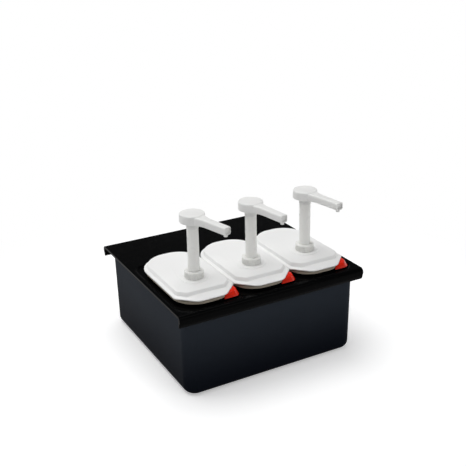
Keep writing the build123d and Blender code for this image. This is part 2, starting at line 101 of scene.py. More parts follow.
class Shaper:
    """One mesh piece while it is shaped, with the edit-mode steps that a modeller uses."""

    def __init__(self, name: str) -> None:
        """Take the active object, name it and put its place into its mesh.

        Args:
            name: The piece's name.
        """
        self.piece = bpy.context.active_object
        self.piece.name = name
        self.piece.data.name = name
        bpy.ops.object.transform_apply(location=True, rotation=True, scale=True)
        bpy.ops.object.mode_set(mode="EDIT")
        bpy.ops.mesh.select_mode(type="VERT")

    @staticmethod
    def clear() -> None:
        """Leave edit mode and deselect every object."""
        if bpy.context.object and bpy.context.object.mode != "OBJECT":
            bpy.ops.object.mode_set(mode="OBJECT")
        bpy.ops.object.select_all(action="DESELECT")

    @staticmethod
    def pick(piece: bpy.types.Object) -> None:
        """Make a piece the active object and the only selected one.

        Args:
            piece: The piece.
        """
        Shaper.clear()
        piece.select_set(True)
        bpy.context.view_layer.objects.active = piece

    @staticmethod
    def modify(piece: bpy.types.Object, name: str, kind: str, **values: object) -> None:
        """Pick a piece, add a modifier to it, set its values and apply it.

        Args:
            piece: The piece.
            name: The modifier's name.
            kind: The modifier's type.
            values: Its settings.
        """
        Shaper.pick(piece)
        modifier = piece.modifiers.new(name, kind)
        for key, value in values.items():
            setattr(modifier, key, value)
        bpy.ops.object.modifier_apply(modifier=modifier.name)

    @classmethod
    def block(cls, name: str, low: Sequence[float], high: Sequence[float]) -> "Shaper":
        """Start from a cube stretched between two corners.

        Args:
            name: The piece's name.
            low: Its lowest corner.
            high: Its highest corner.

        Returns:
            The shaper of the new piece, in edit mode.
        """
        cls.clear()
        middle = [(a + b) / 2 for a, b in zip(low, high)]
        size = [b - a for a, b in zip(low, high)]
        bpy.ops.mesh.primitive_cube_add(size=1, location=middle, scale=size)
        return cls(name)

    @classmethod
    def turned(cls, name: str, profile: Sequence[Point], axis: Point, steps: int = 64) -> "Shaper":
        """Start from one vertex, draw a profile with it and spin it about a vertical axis.

        Args:
            name: The piece's name.
            profile: Points as (radius, height), from the bottom outwards and up.
            axis: The axis in plan.
            steps: Steps of the full turn.

        Returns:
            The shaper of the new piece, in edit mode.
        """
        cls.clear()
        radius, height = profile[0]
        bpy.ops.mesh.primitive_plane_add(size=MM, location=(axis[0] + radius, axis[1], height))
        shaper = cls(name)
        bpy.ops.mesh.merge(type="CENTER")
        for (r0, z0), (r1, z1) in zip(profile, profile[1:]):
            shaper.extrude((r1 - r0, 0, z1 - z0))
        bpy.ops.mesh.select_all(action="SELECT")
        bpy.ops.mesh.spin(steps=steps, angle=2 * math.pi, center=(axis[0], axis[1], 0), axis=(0, 0, 1))
        bpy.ops.mesh.select_all(action="SELECT")
        bpy.ops.mesh.remove_doubles(threshold=MERGE)
        bpy.ops.mesh.normals_make_consistent(inside=False)
        return shaper

    @classmethod
    def rod(cls, name: str, radius: float, levels: Point, axis: Point, steps: int = 64) -> bpy.types.Object:
        """Turn a plain upright cylinder.

        Args:
            name: The piece's name.
            radius: Its radius.
            levels: Its underside and its top.
            axis: The axis in plan.
            steps: Steps of the full turn.

        Returns:
            The cylinder.
        """
        low, high = levels
        return cls.turned(name, ((0, low), (radius, low), (radius, high), (0, high)), axis, steps).done()

    def edges(self, test: Test) -> "Shaper":
        """Select the edges whose two ends pass a test, and nothing else."""
        return self._select("EDGE", lambda m: [e for e in m.edges if test(e.verts[0].co, e.verts[1].co)])

    def faces(self, test: Test) -> "Shaper":
        """Select the faces whose centre and normal pass a test, and nothing else."""
        return self._select("FACE", lambda m: [f for f in m.faces if test(f.calc_center_median(), f.normal)])

    def top_faces(self) -> "Shaper":
        """Select the faces that look up."""
        return self.faces(lambda c, n: n.z > FACING)

    def _select(self, mode: str, choose: Choice) -> "Shaper":
        """Select what a function chooses from the edit mesh, and nothing else.

        Args:
            mode: The selection mode that is set.
            choose: The function.

        Returns:
            This shaper.
        """
        bpy.ops.mesh.select_mode(type=mode)
        bpy.ops.mesh.select_all(action="DESELECT")
        mesh = bmesh.from_edit_mesh(self.piece.data)
        for item in choose(mesh):
            item.select_set(True)
        bmesh.update_edit_mesh(self.piece.data)
        return self

    def bevel(self, offset: float, segments: int) -> "Shaper":
        """Round the selected edges."""
        bpy.ops.mesh.bevel(offset=offset, segments=segments, affect="EDGES")
        return self

    def round_level(self, level: float, rounding: Rounding) -> "Shaper":
        """Round the edges that lie at one level."""
        return self.edges(lambda a, b: close(a.z, level) and close(b.z, level)).bevel(*rounding)

    def extrude(self, move: Sequence[float]) -> "Shaper":
        """Extrude the selection and move it."""
        bpy.ops.mesh.extrude_region_move(TRANSFORM_OT_translate={"value": move})
        return self

    def move(self, by: Sequence[float]) -> "Shaper":
        """Move the selection."""
        bpy.ops.transform.translate(value=by)
        return self

    def scale(self, factors: Sequence[float], about: Sequence[float]) -> "Shaper":
        """Scale the selection about a point."""
        bpy.ops.transform.resize(value=factors, center_override=about)
        return self

    def cut(self, other: bpy.types.Object, operation: str = "DIFFERENCE") -> "Shaper":
        """Apply a Boolean with another piece, which is then removed.

        Args:
            other: The cutter, or the piece that is added.
            operation: The Boolean's operation.

        Returns:
            This shaper, in edit mode.
        """
        self.modify(self.piece, "cut", "BOOLEAN", object=other, operation=operation, solver="EXACT")
        bpy.data.objects.remove(other)
        bpy.ops.object.mode_set(mode="EDIT")
        return self

    def join(self, *others: bpy.types.Object) -> "Shaper":
        """Join other pieces into this one as they stand.

        Args:
            others: The pieces that go into it.

        Returns:
            This shaper, in edit mode.
        """
        self.pick(self.piece)
        for other in others:
            other.select_set(True)
        bpy.ops.object.join()
        bpy.ops.object.mode_set(mode="EDIT")
        return self

    def done(self) -> bpy.types.Object:
        """Leave edit mode and return the piece as it stands."""
        self.clear()
        return self.piece

    def finish(self, round_edges: float = 0.0, sharp: float = 35.0, segments: int = 2) -> bpy.types.Object:
        """Merge, round the sharp edges, smooth the faces and return the piece.

        Args:
            round_edges: Radius of a Bevel modifier on the sharp edges, or 0.
            sharp: Angle in degrees past which an edge counts as sharp.
            segments: Segments of that bevel.

        Returns:
            The finished piece.
        """
        bpy.ops.mesh.select_all(action="SELECT")
        bpy.ops.mesh.remove_doubles(threshold=MERGE)
        self.pick(self.piece)
        if round_edges:
            self.modify(self.piece, "rounded edges", "BEVEL", width=round_edges, segments=segments,
                        limit_method="ANGLE", angle_limit=math.radians(sharp))
        bpy.ops.object.shade_smooth_by_angle(angle=math.radians(sharp))
        return self.piece


class Paint:
    """A material while its nodes are laid, with the steps that the finishes share."""

    def __init__(self, name: str) -> None:
        """Make the material and its Object coordinates.

        Args:
            name: The material's name.
        """
        self.material = bpy.data.materials.new(name)
        self.material.use_nodes = True
        self.nodes = self.material.node_tree.nodes
        self.shader = self.nodes["Principled BSDF"]
        self.place = self.nodes.new("ShaderNodeTexCoord").outputs["Object"]

    def link(self, value: Socket, goal: Socket) -> None:
        """Link one socket to another."""
        self.material.node_tree.links.new(value, goal)

    def give(self, values: Dict[str, object]) -> None:
        """Set sockets of the shader by their names."""
        for name, value in values.items():
            self.shader.inputs[name].default_value = value

    def feed(self, name: str, value: Socket) -> None:
        """Link a value to one of the shader's sockets."""
        self.link(value, self.shader.inputs[name])

    def noise(self, size: float, detail: float = 2.0) -> Socket:
        """Add a noise on Object coordinates.

        Args:
            size: How far across its patches are.
            detail: Its finer octaves.

        Returns:
            The noise's value.
        """
        noise = self.nodes.new("ShaderNodeTexNoise")
        noise.inputs["Scale"].default_value = 1 / size
        noise.inputs["Detail"].default_value = detail
        self.link(self.place, noise.inputs["Vector"])
        return noise.outputs["Fac"]

    def remap(self, value: Socket, source: Point, goal: Point, smooth: bool = False) -> Socket:
        """Map a value from one range to another.

        Args:
            value: The value.
            source: The range that it comes in.
            goal: The range that it goes to.
            smooth: Whether the map eases in and out.

        Returns:
            The mapped value.
        """
        step = self.nodes.new("ShaderNodeMapRange")
        step.interpolation_type = "SMOOTHSTEP" if smooth else "LINEAR"
        for name, number in zip(("From Min", "From Max", "To Min", "To Max"), (*source, *goal)):
            step.inputs[name].default_value = number
        self.link(value, step.inputs["Value"])
        return step.outputs["Result"]

    def blend(self, share: Socket, first: Tone, second: Tone) -> Socket:
        """Mix two tones.

        Args:
            share: The share of the second tone, from 0 to 1.
            first: A colour or a socket.
            second: A colour or a socket.

        Returns:
            The mixed colour.
        """
        mix = self.nodes.new("ShaderNodeMix")
        mix.data_type = "RGBA"
        self.link(share, mix.inputs["Factor"])
        for name, tone in (("A", first), ("B", second)):
            if isinstance(tone, tuple):
                mix.inputs[name].default_value = (*tone, 1)
            else:
                self.link(tone, mix.inputs[name])
        return mix.outputs["Result"]

    def bump(self, size: float, depth: float, below: Optional[Socket] = None) -> Socket:
        """Add a bump of one grain size.

        Args:
            size: The size of its grain.
            depth: Its depth.
            below: The normal that it lies on, if any.

        Returns:
            The bumped normal.
        """
        bump = self.nodes.new("ShaderNodeBump")
        bump.inputs["Strength"].default_value = 1.0
        bump.inputs["Distance"].default_value = depth
        self.link(self.noise(size), bump.inputs["Height"])
        if below:
            self.link(below, bump.inputs["Normal"])
        return bump.outputs["Normal"]

    def combine(self, operation: str, first: Socket, second: Socket) -> Socket:
        """Add or multiply two values.

        Args:
            operation: The Math node's operation.
            first: The first value.
            second: The second value.

        Returns:
            The result, kept between 0 and 1.
        """
        maths = self.nodes.new("ShaderNodeMath")
        maths.operation = operation
        maths.use_clamp = True
        self.link(first, maths.inputs[0])
        self.link(second, maths.inputs[1])
        return maths.outputs["Value"]


@dataclass(frozen=True)
class MouldedPlastic:
    """A moulded plastic: its colour drifts slowly, its skin ripples and its gloss varies; it can also carry
    painted shade that darkens it towards its foot.
    """

    name: str
    colour: Colour
    drift_colour: Colour
    roughness: float
    roughness_spread: float = 0.05
    drift_size: float = 60 * MM
    skin_size: float = 1.6 * MM
    skin_depth: float = 0.02 * MM
    wave_size: float = 45 * MM
    wave_depth: float = 0.03 * MM
    shine: float = 0.5
    scatter: float = 0.0
    scatter_reach: float = 2 * MM
    scatter_tint: Colour = (1.0, 0.95, 0.85)
    # Painted shade: the colour that the wall darkens to at its foot, and the height over which that shade
    # fades out.
    painted_foot_shade: Optional[Colour] = None
    height: float = 160 * MM

    def build(self) -> bpy.types.Material:
        """Make the material.

        Returns:
            The new material, whose patterns follow Object coordinates.
        """
        paint = Paint(self.name)
        paint.give({
            "Specular IOR Level": self.shine, "Subsurface Weight": self.scatter,
            "Subsurface Radius": self.scatter_tint, "Subsurface Scale": self.scatter_reach,
        })
        tone = paint.blend(paint.noise(self.drift_size, 3.0), self.colour, self.drift_colour)
        # Painted shade: darken the colour towards the foot, where the wall's reflection and shadow are dark.
        if self.painted_foot_shade:
            tone = self._paint_foot_shade(paint, tone)
        paint.feed("Base Color", tone)
        patches = paint.noise(self.drift_size / 5, 4.0)
        glossy, matt = self.roughness - self.roughness_spread, self.roughness + self.roughness_spread
        paint.feed("Roughness", paint.remap(patches, (0.3, 0.7), (glossy, matt)))
        wave = paint.bump(self.wave_size, self.wave_depth)
        paint.feed("Normal", paint.bump(self.skin_size, self.skin_depth, wave))
        return paint.material

    def _paint_foot_shade(self, paint: Paint, tone: Socket) -> Socket:
        """Paint shade into a colour: from the top down it darkens towards the foot's shade colour, standing
        in for the dark reflection and contact shadow low on a wall.

        Args:
            paint: The material while it is made.
            tone: The colour at the top.

        Returns:
            The colour with its painted shade.
        """
        split = paint.nodes.new("ShaderNodeSeparateXYZ")
        paint.link(paint.place, split.inputs["Vector"])
        # Painted shade: share of the top colour over the foot's shade, from 0 at the foot to 1 at the given
        # height.
        rise = paint.remap(split.outputs["Z"], (0.0, self.height), (0.0, 1.0), smooth=True)
        return paint.blend(rise, self.painted_foot_shade, tone)


@dataclass(frozen=True)
class DrawnSteel:
    """Bright steel with fine lines along its length."""

    name: str
    colour: Colour = (0.62, 0.62, 0.64)
    line_size: float = 0.4 * MM
    roughness_range: Point = (0.18, 0.34)

    def build(self) -> bpy.types.Material:
        """Make the material.

        Returns:
            The new material.
        """
        paint = Paint(self.name)
        paint.give({"Metallic": 1.0, "Base Color": (*self.colour, 1)})
        paint.feed("Roughness", paint.remap(paint.noise(self.line_size), (0.0, 1.0), self.roughness_range))
        return paint.material


FINISHES: Dict[str, Union[MouldedPlastic, DrawnSteel]] = {
    # Housing: black plastic with almost no shine. Its colour is partly its own and partly raised to stand in
    # for the wall's sheen (painted reflection), and it fades into painted shade at its foot.
    "housing": MouldedPlastic(
        "housing black", (0.027, 0.032, 0.040), (0.023, 0.028, 0.036), 0.22, shine=0.003,
        wave_size=90 * MM, wave_depth=0.05 * MM, painted_foot_shade=(0.0050, 0.0062, 0.0095),
    ),
    "deck": MouldedPlastic(
        "deck black", (0.0020, 0.0021, 0.0022), (0.0014, 0.0015, 0.0016), 0.13, shine=0.02,
    ),
    "lid": MouldedPlastic(
        "lid white", (0.89, 0.89, 0.88), (0.87, 0.87, 0.86), 0.34, shine=0.4, skin_depth=0.004 * MM,
    ),
    "pump": MouldedPlastic(
        "pump white", (0.86, 0.86, 0.835), (0.83, 0.83, 0.80), 0.30, shine=0.4, scatter=0.12,
        skin_depth=0.01 * MM,
    ),
    "head": MouldedPlastic(
        "head white", (0.79, 0.79, 0.775), (0.76, 0.76, 0.745), 0.32, shine=0.35, skin_depth=0.003 * MM,
        wave_depth=0.01 * MM,
    ),
    "jar": MouldedPlastic(
        "jar tan", (0.50, 0.44, 0.35), (0.45, 0.39, 0.31), 0.34, shine=0.4, scatter=0.05,
    ),
    "tab": MouldedPlastic(
        "tab red", (0.96, 0.028, 0.005), (0.58, 0.010, 0.003), 0.17, drift_size=8 * MM, shine=0.24,
    ),
    "tube": MouldedPlastic(
        "tube milky", (0.72, 0.74, 0.73), (0.68, 0.70, 0.69), 0.34, scatter=0.25,
    ),
    "seal": MouldedPlastic(
        "seal rubber", (0.035, 0.035, 0.035), (0.02, 0.02, 0.02), 0.62, skin_depth=0.05 * MM,
    ),
    "steel": DrawnSteel("spring steel"),
}


@dataclass
class Outline:
    """The oblong outline of a lid or a jar, moved inwards from the lid's own edge.

    The two front corners are round, or slanted where slant is more than 0.
    """

    x: float
    half: float = 59.8 * MM
    front: float = -165.5 * MM
    back: float = 45 * MM
    front_corner: float = 50 * MM
    back_corner: float = 54 * MM
    corner_steps: int = 18
    slant: float = 0.0
    slant_shrink: float = 1.1
    slant_round: float = 0.25
    slant_steps: int = 6

    def slab(self, name: str, insets: Point, low: float, high: float) -> Shaper:
        """Shape an upright slab of this outline.

        Args:
            name: The piece's name.
            insets: How far the sides and the back, and how far the front, move inwards.
            low: Its underside.
            high: Its top.

        Returns:
            The slab's shaper, in edit mode.
        """
        side, front = insets
        y0, y1 = self.front + front, self.back - side
        slab = Shaper.block(name, (self.x - self.half + side, y0, low), (self.x + self.half - side, y1, high))
        slab.edges(lambda a, b: upright(a, b) and close(a.y, y0))
        inset = (side + front) / 2
        if self.slant:
            cut = self.slant - self.slant_shrink * inset
            slab.bevel(cut, 1)
            slab.edges(lambda a, b: upright(a, b) and a.y < y0 + self.slant)
            slab.bevel(self.slant_round * cut, self.slant_steps)
        else:
            slab.bevel(self.front_corner - inset, self.corner_steps)
        slab.edges(lambda a, b: upright(a, b) and close(a.y, y1))
        return slab.bevel(self.back_corner - side, self.corner_steps)

    def redraw(self, slab: Shaper, old: Point, new: Point) -> Shaper:
        """Scale the selected level of a slab from one pair of insets to another.

        Args:
            slab: The slab, with one level selected.
            old: The level's side and front insets now.
            new: The side and front insets that it gets.

        Returns:
            The same shaper.
        """
        long_old = self.back - old[0] - self.front - old[1]
        long_new = self.back - new[0] - self.front - new[1]
        shift = (new[1] - new[0] - old[1] + old[0]) / 2
        wide = (self.half - new[0]) / (self.half - old[0])
        middle = (self.back - old[0] + self.front + old[1]) / 2
        slab.scale((wide, long_new / long_old, 1), (self.x, middle, 0))
        return slab.move((0, shift, 0))


@dataclass
class Piece:
    """A piece of one station: the pump's place in plan, and the piece's lowest and highest level."""

    station: Station
    x: float
    pump_y: float
    bottom: float
    top: float

    @property
    def axis(self) -> Point:
        """Return the pump's axis in plan."""
        return (self.x, self.pump_y)


@dataclass
class Lid(Piece):
    """The white lid: thin flange with slanted front corners, steep step, flat top, boss and pump hole."""

    edge: float = 2 * MM
    edge_round: Rounding = (0.8 * MM, 3)
    flange_rise: float = 1.4 * MM
    flange: Point = (6 * MM, 23 * MM)
    flange_reach: float = 1.2
    slant: float = 32 * MM
    step: float = 6.8 * MM
    lean: float = 1.6 * MM
    crest_round: Rounding = (1.3 * MM, 4)
    shoulder: Point = (24 * MM, 34 * MM)
    shoulder_rise: float = 1.8 * MM
    shoulder_round: Rounding = (3 * MM, 4)
    boss_radius: float = 27 * MM
    boss_height: float = 1.5 * MM
    boss_ease: Point = (0.3 * MM, 0.8 * MM)
    hole_radius: float = 15.3 * MM
    hole_height: float = 20 * MM
    shell: float = 2.6 * MM
    hollow: Point = (16 * MM, 26 * MM)
    hollow_round: Rounding = (2 * MM, 3)
    skirt_inset: float = 13.4 * MM
    skirt_wall: float = 2 * MM
    skirt_depth: float = 5 * MM
    overlap: float = 0.5 * MM

    @property
    def seat_level(self) -> float:
        """Return the level of the flange's underside."""
        return self.bottom + self.skirt_depth

    def build(self) -> bpy.types.Object:
        """Model the lid from a slab whose top is inset and raised, with plateau, skirt and boss.

        Returns:
            The finished lid.
        """
        outline = Outline(self.x, slant=self.slant)
        top = self.seat_level + self.edge
        lid = outline.slab(self.station.node("lid_shell"), (0.0, 0.0), self.seat_level, top)
        lid.top_faces().extrude((0, 0, self.flange_rise * self.flange_reach))
        side, front = self.flange
        outline.redraw(lid, (0.0, 0.0), (side * self.flange_reach, front * self.flange_reach))
        lid.round_level(top, self.edge_round)
        level = top + self.flange_rise + self.step
        lid.cut(self._plateau(outline, top, level), "UNION")
        under = level - self.shell
        hollow = outline.slab("hollow", self.hollow, self.seat_level - MM, under)
        lid.cut(hollow.round_level(under, self.hollow_round).done())
        lid.cut(self._skirt(Outline(self.x)), "UNION")
        lid.cut(self._boss(level + self.shoulder_rise), "UNION")
        levels = (self.seat_level - MM, self.seat_level + self.hole_height)
        lid.cut(Shaper.rod("hole", self.hole_radius, levels, self.axis))
        return lid.finish(0.25 * MM, sharp=40, segments=2)

    def _plateau(self, outline: Outline, low: float, level: float) -> bpy.types.Object:
        """Shape the raised top, whose wall leans in and whose shoulder rises to the boss.

        Args:
            outline: The lid's outline.
            low: The level of the flange's edge.
            level: The level of the wall's crest.

        Returns:
            The plateau.
        """
        foot = low + MM
        plateau = outline.slab("plateau", self.flange, low - self.overlap, foot)
        crest = (self.flange[0] + self.lean, self.flange[1] + self.lean)
        plateau.top_faces().extrude((0, 0, level - foot))
        outline.redraw(plateau, self.flange, crest)
        plateau.extrude((0, 0, self.shoulder_rise))
        outline.redraw(plateau, crest, self.shoulder)
        plateau.round_level(level, self.crest_round)
        plateau.round_level(level + self.shoulder_rise, self.shoulder_round)
        return plateau.done()

    def _skirt(self, outline: Outline) -> bpy.types.Object:
        """Shape the rim under the lid that centres it in the jar.

        Args:
            outline: The jar's outline.

        Returns:
            The skirt.
        """
        low, high = self.seat_level - self.skirt_depth, self.seat_level + self.overlap
        outer, inner = self.skirt_inset, self.skirt_inset + self.skirt_wall
        core = outline.slab("skirt core", (inner, inner), low - MM, high + MM).done()
        return outline.slab("skirt", (outer, outer), low, high).cut(core).done()

    def _boss(self, level: float) -> bpy.types.Object:
        """Turn the raised ring round the pump.

        Args:
            level: The level that it stands on.

        Returns:
            The boss.
        """
        r, top = self.boss_radius, level + self.boss_height
        near, far = self.boss_ease
        profile = (
            (0, level - MM), (r, level - MM), (r, top - far),
            (r - near, top - near), (r - far, top), (0, top),
        )
        return Shaper.turned("boss", profile, self.axis, 96).done()


@dataclass
class Jar(Piece):
    """The tan jar: tapered tub with a neck and a flange that hangs in the deck."""

    body: float = 10 * MM
    wall: float = 3 * MM
    draft: float = 3 * MM
    neck_height: float = 8 * MM
    flange_inset: float = 4 * MM
    flange_thickness: float = 4 * MM
    flange_round: Rounding = (0.8 * MM, 3)
    bottom_round: float = 10 * MM
    bottom_steps: int = 6

    def build(self) -> bpy.types.Object:
        """Model the tub, add its flange and hollow it.

        Returns:
            The finished jar.
        """
        outline = Outline(self.x)
        levels, name = (self.bottom, self.top), self.station.node("jar_tub")
        jar = self._tub(outline, name, self.body, levels, self.bottom_round)
        low, high = self.flange_low, self.flange_low + self.flange_thickness
        ring = outline.slab("flange", (self.flange_inset, self.flange_inset), low, high)
        jar.cut(ring.round_level(high, self.flange_round).done(), "UNION")
        levels = (self.bottom + self.wall, self.top + MM)
        inside = self._tub(outline, "inside", self.body + self.wall, levels, self.bottom_round - self.wall)
        jar.cut(inside.done())
        return jar.finish(0.5 * MM, sharp=40, segments=3)

    @property
    def flange_low(self) -> float:
        """Return the level of the flange's underside."""
        return self.top - self.neck_height

    def _tub(self, outline: Outline, name: str, inset: float, levels: Point, radius: float) -> Shaper:
        """Shape a tub that tapers from the flange down.

        Args:
            outline: The jar's outline.
            name: The piece's name.
            inset: How far its walls lie inside the outline.
            levels: Its underside and its top.
            radius: The round of its bottom edge.

        Returns:
            The tub's shaper, in edit mode.
        """
        low, high = levels
        tub = outline.slab(name, (inset, inset), low, self.flange_low)
        tub.faces(lambda c, n: n.z < -FACING)
        small = inset + self.draft
        outline.redraw(tub, (inset, inset), (small, small))
        tub.round_level(low, (radius, self.bottom_steps))
        return tub.top_faces().extrude((0, 0, high - self.flange_low))


@dataclass
class CornerTab(Piece):
    """The red tab: a lug with drawn-in outer sides, hooked over the corner of the jar's flange."""

    centre_right: float = 9.8 * MM
    centre_front: float = -115.5 * MM
    neck: float = 40.3 * MM
    flange_corner: float = 46.05 * MM
    jaw_thickness: float = 3.5 * MM
    reach: float = 50.7 * MM
    depth: float = 46 * MM
    slope: float = 4.5 * MM
    outer_round: Rounding = (12 * MM, 8)
    first_angle: float = math.radians(-22)
    last_angle: float = math.radians(-66)
    peg_radius: float = 2 * MM
    peg_length: float = 3.2 * MM
    peg_chamfer: float = 0.3 * MM

    def build(self) -> bpy.types.Object:
        """Model the lug from a block, cut it round the jar, soften it and add its peg.

        Returns:
            The finished tab.
        """
        cx, cy = self.x + self.centre_right, self.centre_front
        left, back = cx + self.neck * math.cos(self.last_angle), cy + self.neck * math.sin(self.first_angle)
        right, front = cx + self.reach, cy - self.depth
        low, top, drawn = self.bottom, self.top, 2 * self.slope
        tab = Shaper.block(self.station.node("red_tab"), (left, front, low), (right, back, top))
        wide, long = right - left, back - front
        tab.top_faces()
        middle = ((left + right) / 2, (front + back) / 2, top)
        tab.scale(((wide - drawn) / wide, (long - drawn) / long, 1), middle)
        outer = Vector((right, front))
        tab.edges(lambda a, b: abs(a.z - b.z) > MM and max((p.xy - outer).length for p in (a, b)) < drawn)
        tab.bevel(*self.outer_round)
        level = top - self.jaw_thickness
        tab.cut(Shaper.rod("jar neck room", self.neck, (low - MM, top + MM), (cx, cy), 128))
        tab.cut(Shaper.rod("jar flange room", self.flange_corner, (low - MM, level), (cx, cy), 128))
        tab.finish(1.1 * MM, sharp=30, segments=4)
        return tab.join(self._peg((cx, cy), level)).done()

    def _peg(self, centre: Point, level: float) -> bpy.types.Object:
        """Turn the peg that goes down into the flange.

        Args:
            centre: The centre of the jar's corner, in plan.
            level: The level of the flange's top.

        Returns:
            The peg.
        """
        angle = (self.first_angle + self.last_angle) / 2
        away = (self.neck + self.flange_corner) / 2
        place = (centre[0] + away * math.cos(angle), centre[1] + away * math.sin(angle))
        low, high, r, c = level - self.peg_length, level + MM, self.peg_radius, self.peg_chamfer
        profile = ((0, low), (r - c, low), (r, low + c), (r, high), (0, high))
        return Shaper.turned("peg", profile, place, 32).finish()


@dataclass
class Spring(Piece):
    """The return spring, wound from round wire between the ball cage and the piston's foot."""

    wire: float = 0.8 * MM
    coil: float = 10.2 * MM
    turns: int = 7
    turn_steps: int = 48
    seat_gap: float = 0.05 * MM
    stroke: float = 75 * MM
    sides: int = 12

    @property
    def keep(self) -> float:
        """Return the share of its height that the spring keeps when the pump is pressed home."""
        return (self.top - self.bottom - self.stroke) / (self.top - self.bottom)

    def build(self) -> bpy.types.Object:
        """Sweep the wire's circle up its helix and close its two ends.

        Returns:
            The finished spring.
        """
        low = self.bottom + self.wire + self.seat_gap
        rise = self.top - self.wire - self.seat_gap - low
        Shaper.clear()
        bpy.ops.mesh.primitive_circle_add(
            vertices=self.sides, radius=self.wire, location=(self.coil, 0, 0), rotation=(math.pi / 2, 0, 0)
        )
        spring = Shaper(self.station.node("wound_spring"))
        spring.modify(spring.piece, "winding", "SCREW", steps=self.turn_steps, render_steps=self.turn_steps,
                      iterations=self.turns, screw_offset=rise / self.turns, use_merge_vertices=False)
        bpy.ops.object.mode_set(mode="EDIT")
        bpy.ops.mesh.select_all(action="SELECT")
        bpy.ops.mesh.fill_holes(sides=self.sides)
        bpy.ops.mesh.select_all(action="SELECT")
        bpy.ops.mesh.normals_make_consistent(inside=False)
        return spring.move((self.x, self.pump_y, low)).finish()


@dataclass
class Collar(Piece):
    """The knurled nut with its top ring."""

    radius: float = 16.4 * MM
    ring_radius: float = 18.0 * MM
    ring_height: float = 3 * MM
    ring_cone: float = 0.5 * MM
    ease: Point = (0.3 * MM, 0.9 * MM)
    chamfer: float = 0.4 * MM
    neck: float = 15.3 * MM
    stem: float = 11.05 * MM
    mouth: Point = (0.2 * MM, 0.8 * MM)
    roof: float = 3.2 * MM
    ribs: int = 24
    rib_width: float = 1.9 * MM
    rib_out: float = 18.0 * MM
    rib_root: float = 0.6 * MM
    rib_foot: float = 0.2 * MM
    rib_round: Rounding = (0.45 * MM, 2)

    def build(self) -> bpy.types.Object:
        """Turn the nut and set its ribs round it.

        Returns:
            The finished collar.
        """
        low, high, ring, stem, chamfer = self.bottom, self.top, self.ring_radius, self.stem, self.chamfer
        under = high - self.ring_height
        near, far = self.ease
        narrow, wide = self.mouth
        profile = (
            (self.neck, low), (self.radius - chamfer, low), (self.radius, low + chamfer),
            (self.radius, under - self.ring_cone), (ring - near, under), (ring, under + chamfer),
            (ring, high - far), (ring - near, high - near), (ring - far, high),
            (stem + wide, high), (stem + narrow, high - near), (stem, high - far),
            (stem, high - self.roof), (self.neck, high - self.roof), (self.neck, low),
        )
        nut = Shaper.turned(self.station.node("knurled_collar"), profile, self.axis, 96)
        nut.join(self._ribs(low + self.rib_foot, under + chamfer))
        return nut.finish()

    def _ribs(self, low: float, high: float) -> bpy.types.Object:
        """Shape one rib and spin copies of it round the nut.

        Args:
            low: The ribs' underside.
            high: Their top.

        Returns:
            The ribs.
        """
        y, half, out = self.pump_y, self.rib_width / 2, self.x + self.rib_out
        root = self.x + self.radius - self.rib_root
        rib = Shaper.block("ribs", (root, y - half, low), (out, y + half, high))
        rib.edges(lambda a, b: close(a.x, out) and close(b.x, out))
        rib.bevel(*self.rib_round)
        bpy.ops.mesh.select_all(action="SELECT")
        turn = 2 * math.pi * (self.ribs - 1) / self.ribs
        bpy.ops.mesh.spin(steps=self.ribs - 1, angle=turn, dupli=True, center=(self.x, y, 0), axis=(0, 0, 1))
        return rib.done()


